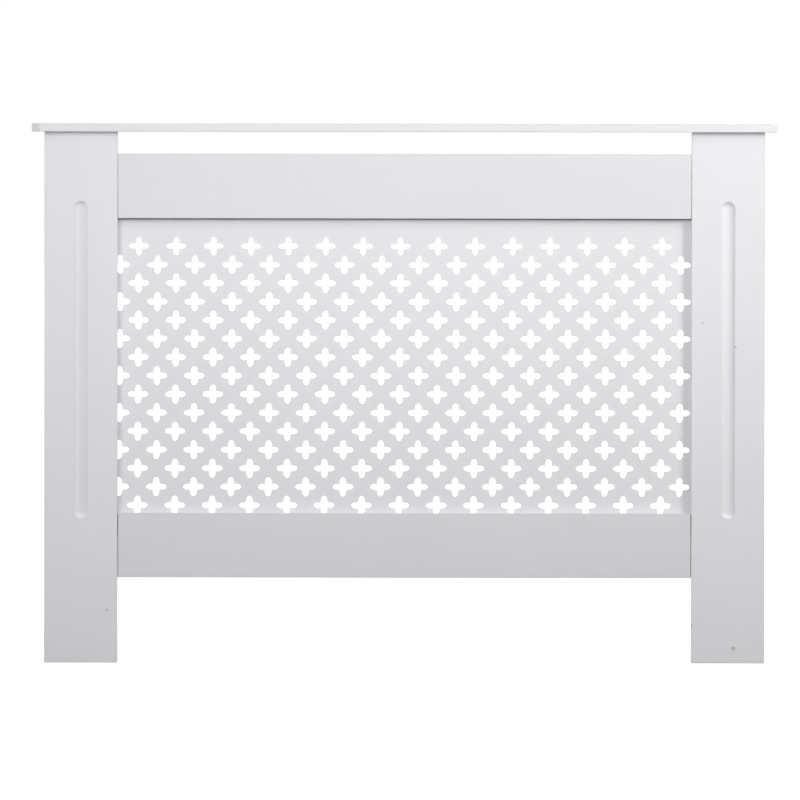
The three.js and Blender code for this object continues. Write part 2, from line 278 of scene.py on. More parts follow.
def node_in(tree, kind, inputs, **settings):
    """A shader node with its settings. An input is a value, or the output that feeds it."""
    made = tree.nodes.new(kind)
    for name, value in settings.items():
        setattr(made, name, value)
    for name, value in inputs.items():
        if isinstance(value, bpy.types.NodeSocket):
            tree.links.new(value, made.inputs[name])
        else:
            made.inputs[name].default_value = value
    return made


def math_in(tree, operation, first, second=0.0, third=0.0):
    """A math node's result."""
    inputs = {0: first, 1: second, 2: third}
    return node_in(tree, "ShaderNodeMath", inputs, operation=operation).outputs[0]


def vector_in(tree, operation, first, second=(0, 0, 0)):
    """A vector math node's result."""
    return node_in(tree, "ShaderNodeVectorMath", {0: first, 1: second}, operation=operation).outputs[0]


def noise_in(tree, vector, scale, detail=2.0):
    """A noise of so many waves to the metre, from 0 to 1."""
    inputs = {"Vector": vector, "Scale": scale, "Detail": detail}
    return node_in(tree, "ShaderNodeTexNoise", inputs).outputs[0]


def ramp_in(tree, value, low, high, to_low=0.0, to_high=1.0):
    """A value mapped from one range to another along a smooth step."""
    inputs = {"Value": value, "From Min": low, "From Max": high, "To Min": to_low, "To Max": to_high}
    return node_in(tree, "ShaderNodeMapRange", inputs, interpolation_type="SMOOTHSTEP").outputs[0]


def scaled_in(tree, vector, factor):
    """A vector or a colour times a factor."""
    inputs = {0: vector, "Scale": factor}
    return node_in(tree, "ShaderNodeVectorMath", inputs, operation="SCALE").outputs[0]


def mixed_in(tree, share, first, second):
    """A number that goes from the first to the second as the share goes from 0 to 1."""
    inputs = {0: share, "A": first, "B": second}
    return node_in(tree, "ShaderNodeMix", inputs, data_type="FLOAT").outputs[0]


def grouped_in(tree, group, **inputs):
    """The outputs of a node group with its inputs set."""
    return node_in(tree, "ShaderNodeGroup", inputs, node_tree=group).outputs


def new_group(name, inputs, outputs):
    """An empty node group with its sockets, and its input and output nodes."""
    tree = bpy.data.node_groups.new(name, "ShaderNodeTree")
    for in_out, sockets in (("INPUT", inputs), ("OUTPUT", outputs)):
        for socket, kind in sockets.items():
            tree.interface.new_socket(name=socket, in_out=in_out, socket_type=f"NodeSocket{kind}")
    return tree, tree.nodes.new("NodeGroupInput").outputs, tree.nodes.new("NodeGroupOutput").inputs


def build_sprayed_paint():
    """Sprayed satin paint on a board: cloudy tone, the fine peel that a spray gun leaves, and a drier,
    duller film along the board's arrises, where the coat is thinner. On a face, the way to the nearest
    arris is the middle one of the three distances to the sides of the board's box."""
    tree, given, result = new_group(
        "SprayedPaint",
        {"Vector": "Vector", "Paint": "Color", "Low": "Vector", "High": "Vector", "Mottle": "Float"},
        {"Color": "Color", "Roughness": "Float", "Height": "Float"},
    )
    middle = scaled_in(tree, vector_in(tree, "ADD", given["Low"], given["High"]), 0.5)
    half = vector_in(tree, "SUBTRACT", given["High"], middle)
    off_middle = vector_in(tree, "ABSOLUTE", vector_in(tree, "SUBTRACT", given["Vector"], middle))
    inside = node_in(tree, "ShaderNodeSeparateXYZ", {0: vector_in(tree, "SUBTRACT", half, off_middle)})
    x, y, z = inside.outputs
    lesser, greater = math_in(tree, "MINIMUM", x, y), math_in(tree, "MAXIMUM", x, y)
    to_arris = math_in(tree, "MAXIMUM", lesser, math_in(tree, "MINIMUM", greater, z))
    arris_mask = ramp_in(tree, to_arris, 0.0, 5 * mm, 1.0, 0.0)

    cloud = noise_in(tree, given["Vector"], 5, 3)
    streak = noise_in(tree, given["Vector"], 60, 2)
    peel = noise_in(tree, given["Vector"], 420, 2)
    ripple = noise_in(tree, given["Vector"], 130, 1)
    swing = math_in(tree, "SUBTRACT", math_in(tree, "MULTIPLY_ADD", streak, 0.4, cloud), 0.7)
    thin_coat = math_in(tree, "MULTIPLY_ADD", arris_mask, -0.02, 1.0)
    factor = math_in(tree, "MULTIPLY_ADD", swing, given["Mottle"], thin_coat)
    tree.links.new(scaled_in(tree, given["Paint"], factor), result["Color"])
    dull = math_in(tree, "ADD", arris_mask, streak)
    tree.links.new(math_in(tree, "MULTIPLY_ADD", dull, 0.1, paint_roughness), result["Roughness"])
    tree.links.new(math_in(tree, "MULTIPLY_ADD", ripple, 0.8, peel), result["Height"])
    return tree


def build_knock():
    """A small knock in the paint: a ragged spot round a point, dented in its middle, with a rim pushed up
    around it and a darker floor. Its distance from the point is shaken by a noise."""
    tree, given, result = new_group(
        "Knock",
        {"Vector": "Vector", "Point": "Vector", "Reach": "Float"},
        {"Tone": "Float", "Height": "Float"},
    )
    away = vector_in(tree, "SUBTRACT", given["Vector"], given["Point"])
    length = node_in(tree, "ShaderNodeVectorMath", {0: away}, operation="LENGTH").outputs["Value"]
    shaken = math_in(tree, "ADD", noise_in(tree, given["Vector"], 700, 2), 0.5)
    share = math_in(tree, "DIVIDE", math_in(tree, "MULTIPLY", length, shaken), given["Reach"])
    dent = ramp_in(tree, share, 0.2, 0.7, 1.0, 0.0)
    rim = ramp_in(tree, share, 0.6, 1.0, 1.0, 0.0)
    tree.links.new(ramp_in(tree, share, 0.3, 0.6, 0.72, 1.0), result["Tone"])
    tree.links.new(math_in(tree, "MULTIPLY_ADD", dent, -2.2, rim), result["Height"])
    return tree


sprayed_paint_group = build_sprayed_paint()
knock_group = build_knock()


def new_material(name):
    """A material with its Principled shader, and the object's coordinates."""
    material = bpy.data.materials.new(name)
    material.use_nodes = True
    tree = material.node_tree
    position = tree.nodes.new("ShaderNodeTexCoord").outputs["Object"]
    return material, tree, tree.nodes["Principled BSDF"], position


def bumped(tree, shader, height, depth):
    """Feeds a height from 0 to 1, so many metres deep, to the shader's normal."""
    bump = node_in(tree, "ShaderNodeBump", {"Height": height, "Distance": depth, "Strength": 1.0})
    tree.links.new(bump.outputs[0], shader.inputs["Normal"])


def sprayed_paint(name, node, colour=paint_colour, knocks=()):
    """The paint of one board. Each knock is a point of the board and how far it reaches."""
    low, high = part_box(node)
    material, tree, shader, position = new_material(name)
    paint = grouped_in(
        tree, sprayed_paint_group, Vector=position, Paint=colour, Low=low, High=high, Mottle=paint_mottle,
    )
    colour, height = paint["Color"], paint["Height"]
    for point, reach in knocks:
        knock = grouped_in(tree, knock_group, Vector=position, Point=point, Reach=reach)
        colour = scaled_in(tree, colour, knock["Tone"])
        height = math_in(tree, "MULTIPLY_ADD", knock["Height"], knock_height, height)
    tree.links.new(colour, shader.inputs["Base Color"])
    tree.links.new(paint["Roughness"], shader.inputs["Roughness"])
    shader.inputs["Specular IOR Level"].default_value = paint_specular
    bumped(tree, shader, height, peel_depth)
    return material


def raw_fibreboard():
    """The brown inside of the board, which shows where it was bored after painting: matt, finely furred,
    with paler and darker flecks of fibre."""
    material, tree, shader, position = new_material("raw_fibreboard")
    fleck = noise_in(tree, position, 1800, 3)
    cloud = noise_in(tree, position, 90, 2)
    factor = math_in(tree, "MULTIPLY_ADD", math_in(tree, "ADD", fleck, cloud), 0.5, 0.5)
    tree.links.new(scaled_in(tree, fibre_colour, factor), shader.inputs["Base Color"])
    shader.inputs["Roughness"].default_value = 0.85
    bumped(tree, shader, fleck, 0.1 * mm)
    return material


fibreboard = raw_fibreboard()


def flute_surface(middle_x, face_y, low_z, high_z, around=64, end_rings=12):
    """The path of the flute's cutter: a rod with half-ball ends, standing proud of the board's face.

    Its radius is that of the arc with the flute's width as chord and its depth as rise. A ring at an angle
    a of an end's ball has the radius times the cosine of a, and lies beyond the ball's middle by its sine.
    """
    radius = (flute_width ** 2 / 4 + flute_depth ** 2) / (2 * flute_depth)
    angle = np.linspace(0, math.pi / 2, end_rings + 1)[:-1]
    ring, beyond = radius * np.cos(angle), radius * np.sin(angle)
    low_ball, high_ball = low_z + flute_width / 2, high_z - flute_width / 2
    profile = np.concatenate([
        np.stack([ring[::-1], low_ball - beyond[::-1]], 1),
        np.stack([ring, high_ball + beyond], 1),
    ])
    points, faces = turned_surface(profile, around)
    points[:, :2] += (middle_x, face_y + flute_depth - radius)
    return points, faces


leg_knocks = {  # the X and Z of each, and how far it reaches, in millimetres
    "left": [(-446.7, 79, 2.6)],
    "right": [(494.8, 21.9, 6), (497, 475.4, 3.4), (448.3, 511.5, 1.8), (431, 56.5, 4.5)],
}
for hand in ("left", "right"):
    low, high = box_corners(f"{hand}_leg")
    points, faces = front_board(low, high)
    knocks = [((x * mm, low[1], z * mm), reach * mm) for x, z, reach in leg_knocks[hand]]
    leg_paint = sprayed_paint(f"{hand}_leg_paint", f"{hand}_leg", knocks=knocks)
    board = new_piece(f"{hand}_leg_board", facing_front(points, high[1]), faces, leg_paint)
    flute = flute_surface((low[0] + high[0]) / 2, low[1], flute_rise, shelf_low[2] - flute_drop)
    cut_away(board, *flute, leg_paint)
    bore_board(board, f"{hand}_leg")
    shade(board)
    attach(board, "root")
    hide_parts(f"{hand}_leg")

# ---- Side panels ----
# The two sides of the cover, of the same painted board. Each stands behind its leg and reaches the wall,
# with a notch at its foot for the skirting board. Cams in its inner face draw it to the leg and the shelf.
notch_height = 125 * mm
notch_depth = 25 * mm

for hand in ("left", "right"):
    low, high = box_corners(f"{hand}_side_panel")
    panel_corners = [
        (low[1], low[2]), (high[1] - notch_depth, low[2]), (high[1] - notch_depth, notch_height),
        (high[1], notch_height), (high[1], high[2]), (low[1], high[2]),
    ]
    points, faces = board_surface(panel_corners, high[0] - low[0])
    panel_paint = sprayed_paint(f"{hand}_side_paint", f"{hand}_side_panel")
    points = placed(points, (low[0], 0, 0), (0, 1, 0), (1, 0, 0))
    board = new_piece(f"{hand}_side_board", points, faces, panel_paint)
    bore_board(board, f"{hand}_side_panel")
    shade(board)
    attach(board, "root")
    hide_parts(f"{hand}_side_panel")

# ---- Rails ----
# Two rails of the same board lie between the legs, their faces level with them. A cam bolt and a dowel hold
# each end. The cams are in the back, so they draw the ends tight there and leave a dark hairline in front.
# The sawn ends are coloured dark grey, a painted shade that deepens that hairline.
hairline = {"upper_rail": 0.5 * mm, "lower_rail": 1.1 * mm}
hairline_at_back = 0.1 * mm
rail_painted_shade_colour = {  # each a touch greyer than the legs': painted shade for the dimmer light on the rails, more on the lower
    "upper_rail": (0.762, 0.762, 0.787, 1),
    "lower_rail": (0.747, 0.747, 0.771, 1),
}
# Dark grey for the rails' sawn ends: painted shade that deepens the hairline at each end.
end_shade_colour = (0.30, 0.30, 0.31, 1)
leg_inner_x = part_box("right_leg")[0].x


def coat_ends(piece, axis, material):
    """Gives a material to the faces that lie square to an axis, to within 20 degrees."""
    normals = np.empty(len(piece.data.polygons) * 3)
    piece.data.polygons.foreach_get("normal", normals)
    square = np.abs(normals.reshape(-1, 3)[:, axis]) > math.cos(math.radians(20))
    piece.data.materials.append(material)
    piece.data.polygons.foreach_set("material_index", square.astype(np.int32))


for rail in ("upper_rail", "lower_rail"):
    low, high = box_corners(rail)
    points, faces = front_board(low, high)
    gap = hairline_at_back + (hairline[rail] - hairline_at_back) * points[:, 2] / (high[1] - low[1])
    points[:, 0] *= (leg_inner_x - gap) / high[0]
    # The rail's paint is darker than the legs': painted shade for the dimmer light on it.
    rail_paint = sprayed_paint(f"{rail}_paint", rail, rail_painted_shade_colour[rail])
    board = new_piece(f"{rail}_board", facing_front(points, high[1]), faces, rail_paint)
    # The sawn ends get the dark grey of painted shade.
    coat_ends(board, 0, sprayed_paint(f"{rail}_end_shade", rail, end_shade_colour))
    bore_board(board, rail)
    shade(board)
    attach(board, "root")
    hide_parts(rail)

# ---- Fretwork panel ----
# A sheet of 3 mm hardboard behind the rails and legs, routed right through with staggered rows of
# four-petal holes that let the warm air out, then sprayed like the boards. Eight screws hold it from behind.
fret_rows = 15
fret_columns = 15  # holes in an odd row, and every even row has one more
top_row_drop = 41.6 * mm  # from the upper rail to the middle of the top row
bottom_row_rise = 11.4 * mm  # from the lower rail to the middle of the bottom row
outer_hole_inset = 9.8 * mm  # from a leg to the middle of the outermost hole, before the shift
fret_shift = -7.1 * mm  # the pattern sits this far off the middle, to the left
fret_lean = 0.0055  # and leans this much to the right as it rises
across_petal = np.array([7.5, 7.8, 4.5]) * mm  # its ellipse: the middle's distance, half length, half width
upright_petal = np.array([6.3, 8.0, 5.0]) * mm
inner_corner = np.array([4.83, 4.23]) * mm  # where two petals' ellipses meet
petal_steps = 5  # lines in half a petal
fret_easing = 0.35 * mm

fret_low, fret_high = box_corners("fretwork_panel")
fret_thickness = fret_high[1] - fret_low[1]
top_row_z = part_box("upper_rail")[0].z - top_row_drop
bottom_row_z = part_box("lower_rail")[1].z + bottom_row_rise
half_row = (top_row_z - bottom_row_z) / (fret_rows - 1)
half_column = (leg_inner_x - outer_hole_inset) / fret_columns


def all_round(quarter):
    """A closed line from its first quarter, which runs from the X axis to the Z axis with both ends. The
    other quarters are the first, mirrored or turned, each without its last point."""
    mirrored = quarter[::-1] * (-1, 1)
    return np.concatenate([quarter[:-1], mirrored[:-1], -quarter[:-1], -mirrored[:-1]])


def petal_arc(petal, corner):
    """Half a petal's edge, from its tip to the corner: its ellipse, in equal steps of the angle that is 0
    at the tip and, at the corner, that of the corner's offsets over the ellipse's half length and width."""
    middle, half_length, half_width = petal
    end = math.atan2(corner[1] / half_width, (corner[0] - middle) / half_length)
    angle = np.linspace(0, end, petal_steps + 1)
    return np.stack([middle + half_length * np.cos(angle), half_width * np.sin(angle)], 1)


def widened(line, distance):
    """A closed anticlockwise line moved outwards: each point goes along its two sides' normals, by the
    distance times their sum over one plus their product, so that both sides move by the distance."""
    after = np.roll(line, -1, axis=0) - line
    after /= np.linalg.norm(after, axis=1, keepdims=True)
    next_normal = np.stack([after[:, 1], -after[:, 0]], 1)
    last_normal = np.roll(next_normal, 1, axis=0)
    cosine = (next_normal * last_normal).sum(1, keepdims=True)
    return line + distance * (next_normal + last_normal) / (1 + cosine)


def fretwork_holes(middles, rhombus, hole):
    """The holes with the panel around them. A hole is five lines, one inside the other: the rhombus and the
    hole's edge at the back face, the edge just behind the front face, then eased back, and the rhombus in
    front. Every hole is the same five lines, moved to its own middle."""
    rings = np.stack([rhombus, hole, hole, widened(hole, fret_easing), rhombus])
    depths = np.array([0, 0, fret_thickness - fret_easing, fret_thickness, fret_thickness])
    one_hole, faces = stacked_lines(rings, depths[:, None], capped=False)
    moves = np.concatenate([middles, np.zeros((len(middles), 1))], 1)
    points = one_hole[None] + moves[:, None]
    starts = np.arange(len(middles)) * len(one_hole)
    faces = np.array(faces)[None, :, ::-1] + starts[:, None, None]
    return points.reshape(-1, 3), faces.reshape(-1, 4).tolist()


def fretwork_border(middles, rhombus, row_of):
    """The panel outside the rhombi. The zigzag line round all of them is halves of the outer rhombi, end to
    end. Each of its points has a partner straight out on the panel's edge, and its four corners have the
    panel's. Six lines run from the zigzag at the back, over the eased edge, to the zigzag in front."""
    half = len(rhombus) // 2
    from_top = np.roll(rhombus, -half // 2, axis=0)
    longer = row_of % 2 == 1
    row_ends = row_of[1:] != row_of[:-1]
    left_end, right_end = np.append(True, row_ends), np.append(row_ends, True)
    sides = [
        (middles[row_of == fret_rows - 1][:, None] + rhombus[half:], (0, -1)),
        (middles[longer & right_end][::-1][:, None] + from_top[half:], (1, 0)),
        (middles[row_of == 0][::-1][:, None] + rhombus[:half], (0, 1)),
        (middles[longer & left_end][:, None] + from_top[:half], (-1, 0)),
    ]
    zigzag = np.concatenate([line.reshape(-1, 2) for line, _ in sides])
    outward = np.concatenate([np.broadcast_to(way, (line[..., 0].size, 2)) for line, way in sides])
    corner = (outward != np.roll(outward, 1, axis=0)).any(1)
    outward = np.where(corner[:, None], outward + np.roll(outward, 1, axis=0), outward)
    low, high = fret_low[[0, 2]] + fret_easing, fret_high[[0, 2]] - fret_easing
    inset = np.where(outward < 0, low, np.where(outward > 0, high, zigzag))
    edge = inset + outward * fret_easing
    rings = np.stack([zigzag, inset, edge, edge, inset, zigzag])
    depths = np.array([0, 0, fret_easing, fret_thickness - fret_easing, fret_thickness, fret_thickness])
    return stacked_lines(rings, depths[:, None], capped=False)


def fretwork_surface():
    """The panel as a quilt. Staggered holes share the panel out into rhombi, one round each hole, half a
    column wide and half a row high from its middle. A rhombus has as many points along each side as a
    quarter of its hole, evenly spaced, so that neighbours meet point for point. The lean moves a point
    sideways by its height times the lean, the same for holes and rhombi."""
    upright_arc = petal_arc(upright_petal, inner_corner[::-1])[:-1]
    quarter = np.concatenate([
        petal_arc(across_petal, inner_corner)[:-1], [inner_corner], upright_arc[::-1, ::-1],
    ])
    share = np.linspace(0, 1, len(quarter))[:, None]
    lean = np.array([[1, 0], [fret_lean, 1]])
    rhombus = all_round(np.concatenate([half_column * (1 - share), half_row * share], 1)) @ lean
    hole = all_round(quarter) @ lean
    half_rows = (fret_rows - 1) / 2
    counts = fret_columns + np.arange(fret_rows) % 2
    row_of = np.repeat(np.arange(fret_rows), counts)
    step_of = np.concatenate([np.arange(count) - (count - 1) / 2 for count in counts])
    from_middle = np.stack([step_of * 2 * half_column, (half_rows - row_of) * half_row], 1)
    middles = from_middle @ lean + (fret_shift, top_row_z - half_rows * half_row)
    return joined([
        fretwork_holes(middles, rhombus, hole),
        fretwork_border(middles, rhombus, row_of),
    ])


def merge_doubles(piece, distance=0.001 * mm):
    """Joins the points that lie on each other, where surfaces made apart meet."""
    mesh = bmesh.new()
    mesh.from_mesh(piece.data)
    bmesh.ops.remove_doubles(mesh, verts=mesh.verts, dist=distance)
    mesh.to_mesh(piece.data)
    mesh.free()


def painted_shade_under(material, edge_z, reach, darkest):
    """Darkens the front of the panel just under the board that lies on it: painted shade, a shadow of the
    board painted into the panel's colour. It is darkest at the board's edge and in the front face. It fades
    over the reach along the panel's height, and over 1 mm into its thickness, by smooth steps."""
    tree = material.node_tree
    shader = tree.nodes["Principled BSDF"]
    position = tree.nodes.new("ShaderNodeTexCoord").outputs["Object"]
    place = node_in(tree, "ShaderNodeSeparateXYZ", {0: position}).outputs
    away = math_in(tree, "ABSOLUTE", math_in(tree, "SUBTRACT", place["Z"], edge_z))
    in_front = ramp_in(tree, place["Y"], fret_low[1], fret_low[1] + 1 * mm, 1.0, 0.0)
    # The mask of the painted shade under the board, darkest at its edge.
    painted_shade = math_in(tree, "MULTIPLY", ramp_in(tree, away, 0.0, reach, 1.0, 0.0), in_front)
    tone = math_in(tree, "MULTIPLY_ADD", painted_shade, darkest - 1, 1.0)
    colour = shader.inputs["Base Color"].links[0].from_socket
    tree.links.new(scaled_in(tree, colour, tone), shader.inputs["Base Color"])


points, faces = fretwork_surface()
fret_paint = sprayed_paint("fretwork_paint", "fretwork_panel")
# Painted shade under the upper rail, in two layers: a faint wide fade and a dark line at the rail's edge.
for painted_shade_reach, darkest_tone in ((22 * mm, 0.9), (3 * mm, 0.1)):
    painted_shade_under(fret_paint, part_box("upper_rail")[0].z, painted_shade_reach, darkest_tone)
fretwork = new_piece("fretwork_sheet", facing_front(points, fret_high[1]), faces, fret_paint)
merge_doubles(fretwork)
bore_board(fretwork, "fretwork_panel")
shade(fretwork)
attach(fretwork, "root")
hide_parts("fretwork_panel")

# ---- Screws of the fretwork panel ----
# Eight small pan-head screws of zinc-plated steel, with a cross recess for the driver. They go in from
# behind, through the panel and into the backs of the rails and legs.
screw_head_radius = 3.2 * mm
screw_head_height = 1.8 * mm
screw_seat = 0.1 * mm
screw_rim = 0.7 * mm  # from the seat to where the head's dome starts
screw_root = 1.05 * mm
screw_tip = 3 * mm
thread_pitch = 1.1 * mm
zinc_colour = (0.56, 0.57, 0.60, 1)
scratch_depth = 0.01 * mm


def cross_radius(angle, half_width, reach):
    """A cross's outline from its middle: at each angle the further of its two bars, each of which ends at
    the nearer of its side, the half width over the sine, and its end, the reach over the cosine."""
    sine, cosine = np.abs(np.sin(angle)) + 1e-9, np.abs(np.cos(angle)) + 1e-9
    level = np.minimum(half_width / sine, reach / cosine)
    upright = np.minimum(half_width / cosine, reach / sine)
    return np.maximum(level, upright)


def cross_angles(half_width, reach, steps=3):
    """The angles round a cross that hit each of its corners, with even steps between them."""
    corner = math.atan2(half_width, reach)
    knots = np.array([0, corner, math.pi / 4, math.pi / 2 - corner])
    widths = np.diff(np.append(knots, math.pi / 2))
    quarter = (knots[:, None] + widths[:, None] * np.arange(steps)[None, :] / steps).ravel()
    return (quarter[None, :] + np.arange(4)[:, None] * math.pi / 2).ravel()


def recess_rings(angle, face_height, depth, half_width, reach):
    """A driver's cross recess: its outline at the face, and the same outline, narrower, on its floor."""
    rim = cross_radius(angle, half_width, reach)
    floor = cross_radius(angle, 0.7 * half_width, 0.6 * reach)
    return [(rim, face_height), (floor, face_height - depth)]


def threaded_rings(angle, low, high, root, crest, pitch, taper=0.0):
    """A screw thread: at each height the radius swings between root and crest as a sharp wave, whose place
    in its turn is the height over the pitch less the angle over a full turn. Over the taper at its lower
    end the whole radius shrinks to a point."""
    steps = int(round((high - low) / pitch * 4)) + 1
    height = np.linspace(low, high, steps)[:, None]
    turn = np.mod(height / pitch - angle[None, :] / (2 * math.pi), 1)
    wave = 1 - np.abs(2 * turn - 1)
    slim = np.clip((height - low) / taper, 0.12, 1) if taper else 1.0
    radius = (root + (crest - root) * wave) * slim
    return list(zip(radius, height))


def screw_surface(length):
    """A pan-head screw, its seat at height 0: the thread with its tip, the plain neck, the underside and
    rim of the head, a dome whose height falls with the fourth power of the radius, and the recess."""
    half_width, reach = 0.42 * mm, 1.6 * mm
    angle = cross_angles(half_width, reach)
    rings = threaded_rings(angle, -length, -1.5 * mm, screw_root, screw_radius, thread_pitch, screw_tip)
    rings += [(screw_radius, -1.2 * mm), (screw_radius, screw_seat)]
    rings += [(screw_head_radius, screw_seat), (screw_head_radius, screw_rim)]
    for share in (0.93, 0.8, 0.6):
        height = screw_rim + (screw_head_height - screw_rim) * (1 - share ** 4)
        rings.append((share * screw_head_radius, height))
    rings += recess_rings(angle, screw_head_height, 1.1 * mm, half_width, reach)
    return ringed_surface(rings, angle)


def build_plating():
    """Zinc plating: a bright metal with faint cloudy spangle, fine scratches and dull spots of handling."""
    tree, given, result = new_group(
        "Plating",
        {"Vector": "Vector", "Metal": "Color", "Fineness": "Float"},
        {"Color": "Color", "Roughness": "Float", "Height": "Float"},
    )
    spangle_inputs = {"Vector": given["Vector"], "Scale": given["Fineness"]}
    spangle = node_in(tree, "ShaderNodeTexVoronoi", spangle_inputs).outputs["Color"]
    flake = node_in(tree, "ShaderNodeSeparateXYZ", {0: spangle}).outputs[0]
    cloud = noise_in(tree, given["Vector"], 300, 3)
    cloudy = math_in(tree, "MULTIPLY_ADD", cloud, 0.3, 0.8)
    factor = math_in(tree, "MULTIPLY_ADD", flake, 0.12, cloudy)
    tree.links.new(scaled_in(tree, given["Metal"], factor), result["Color"])
    dull = ramp_in(tree, math_in(tree, "ADD", cloud, flake), 0.4, 1.6, 0.28, 0.5)
    tree.links.new(dull, result["Roughness"])
    mapping_inputs = {"Vector": given["Vector"], "Scale": (1, 1, 14)}
    stretched = node_in(tree, "ShaderNodeMapping", mapping_inputs).outputs[0]
    tree.links.new(noise_in(tree, stretched, 900, 3), result["Height"])
    return tree


plating_group = build_plating()


def plated_metal(name, colour, fineness):
    """A plated metal: its colour, and how many flakes of spangle there are to the metre."""
    material, tree, shader, position = new_material(name)
    plating = grouped_in(tree, plating_group, Vector=position, Metal=colour, Fineness=fineness)
    shader.inputs["Metallic"].default_value = 1.0
    tree.links.new(plating["Color"], shader.inputs["Base Color"])
    tree.links.new(plating["Roughness"], shader.inputs["Roughness"])
    bumped(tree, shader, plating["Height"], scratch_depth)
    return material


def fitting_piece(node, surface, origin, across, along, material):
    """One fitting: its surface placed in the cover, in place of its node."""
    points, faces = surface
    piece = new_piece(f"{node}_fitted", placed(points, origin, across, along), faces, material)
    shade(piece)
    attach(piece, "root")
    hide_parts(node)
    return piece


def screw_in(node, out, material):
    """A screw whose head points out, a unit vector along one axis."""
    axis, low, high, middle, _ = fitting_line(node)
    head_end = high if out[axis] > 0 else low
    seat = middle * (1 - np.abs(out)) + np.abs(out) * head_end - np.asarray(out) * screw_head_height
    across = np.roll(out, 1)
    surface = screw_surface(high - low - screw_head_height)
    fitting_piece(node, surface, seat, across, out, material)


screw_steel = plated_metal("screw_steel", zinc_colour, 900)
for node in sorted(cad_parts):
    if node.startswith("fretwork_screw"):
        screw_in(node, (0, 1, 0), screw_steel)

# ---- Dowels, cam bolts and cams ----
# Fluted beech dowels set the boards to each other. A steel bolt screwed into one board reaches into a round
# die-cast cam in the next, whose slot takes the bolt's waisted head and draws it in when the cam is turned.
dowel_grooves = 20
dowel_groove_depth = 0.15 * mm
dowel_chamfer = 1 * mm
bolt_waist_radius = 1.5 * mm
bolt_waist_length = 4 * mm
bolt_head_length = 2.5 * mm
bolt_screwed_length = 8.5 * mm
cam_slot_past = 3.5 * mm  # how far the slot runs past the cam's middle
cam_slot_half_width = 2.8 * mm
beech_colour = (0.58, 0.40, 0.235)


def beech_wood():
    """Beech: pale brown, with a fine grain from a noise that is drawn out upwards, and the short dark rays
    that show as flecks."""
    material, tree, shader, position = new_material("beech")
    drawn = node_in(tree, "ShaderNodeMapping", {"Vector": position, "Scale": (1, 1, 0.5)}).outputs[0]
    grain = noise_in(tree, drawn, 700, 4)
    fleck = ramp_in(tree, noise_in(tree, position, 2400, 1), 0.62, 0.7, 1.0, 0.75)
    factor = math_in(tree, "MULTIPLY", ramp_in(tree, grain, 0.3, 0.7, 0.8, 1.12), fleck)
    tree.links.new(scaled_in(tree, beech_colour, factor), shader.inputs["Base Color"])
    shader.inputs["Roughness"].default_value = 0.65
    bumped(tree, shader, grain, 0.05 * mm)
    return material


def dowel_surface(length, radius):
    """A fluted dowel: its radius dips by a cosine once for each groove, and its ends taper."""
    angle = np.arange(dowel_grooves * 4) * 2 * math.pi / (dowel_grooves * 4)
    grooved = radius - dowel_groove_depth * (1 + np.cos(dowel_grooves * angle)) / 2
    height = np.array([0, dowel_chamfer, length - dowel_chamfer, length])[:, None]
    slim = np.array([0.78, 1, 1, 0.78])[:, None]
    return ringed_surface(zip(grooved * slim, height), angle)


def bolt_surface(length, radius):
    """A cam bolt from its tip at height 0: the screwed end, a collar, the shank, its waist and its head,
    which has a cross recess for driving it."""
    half_width, reach = 0.4 * mm, 1.5 * mm
    angle = cross_angles(half_width, reach)
    thread_end = bolt_screwed_length - 1 * mm
    rings = threaded_rings(angle, 0, thread_end, 0.76 * radius, radius, 1.4 * mm, 1.5 * mm)
    head = length - bolt_head_length
    waist = head - bolt_waist_length
    rings += [
        (0.8 * radius, bolt_screwed_length - 0.8 * mm), (radius, bolt_screwed_length - 0.4 * mm),
        (radius, bolt_screwed_length + 1 * mm), (0.92 * radius, bolt_screwed_length + 1.3 * mm),
        (0.92 * radius, waist - 0.6 * mm), (bolt_waist_radius, waist + 0.2 * mm),
        (bolt_waist_radius, head - 0.1 * mm), (0.9 * radius, head), (radius, head + 0.3 * mm),
        (radius, length - 0.4 * mm), (0.84 * radius, length),
    ]
    rings += recess_rings(angle, length, 1.3 * mm, half_width, reach)
    return ringed_surface(rings, angle)


def cam_surface(height, radius):
    """A cam from its underside: a round plug with both edges bevelled and a cross recess in its top."""
    half_width, reach = 0.75 * mm, 3.4 * mm
    angle = cross_angles(half_width, reach)
    rings = [
        (radius - 0.4 * mm, 0), (radius, 0.4 * mm), (radius, height - 0.5 * mm),
        (radius - 0.3 * mm, height - 0.1 * mm), (radius - 0.7 * mm, height), (0.78 * radius, height),
        (0.72 * radius, height - 0.25 * mm),
    ]
    rings += recess_rings(angle, height - 0.25 * mm, 3 * mm, half_width, reach)
    return ringed_surface(rings, angle)


def cam_cuts(height, radius):
    """What is cut out of a cam, with the joint towards -X: the slot for the bolt's head, from the side to
    just past the middle, and a shallow arrow in its top that points to the joint."""
    slot_top = height / 2 + cam_slot_half_width - 1 * mm
    slot_corners = [
        (-radius - overcut, -cam_slot_half_width), (cam_slot_past, -cam_slot_half_width),
        (cam_slot_past, cam_slot_half_width), (-radius - overcut, cam_slot_half_width),
    ]
    slot, slot_faces = board_surface(slot_corners, slot_top + overcut, 2.4 * mm, 0.2 * mm)
    arrow_corners = [(-radius + 0.5 * mm, 0), (-0.68 * radius, -0.6 * mm), (-0.68 * radius, 0.6 * mm)]
    arrow, arrow_faces = board_surface(arrow_corners, 1 * mm, 0.08 * mm, 0.01 * mm, 1)
    return joined([
        (slot - (0, 0, overcut), slot_faces), (arrow + (0, 0, height - 0.4 * mm), arrow_faces),
    ])


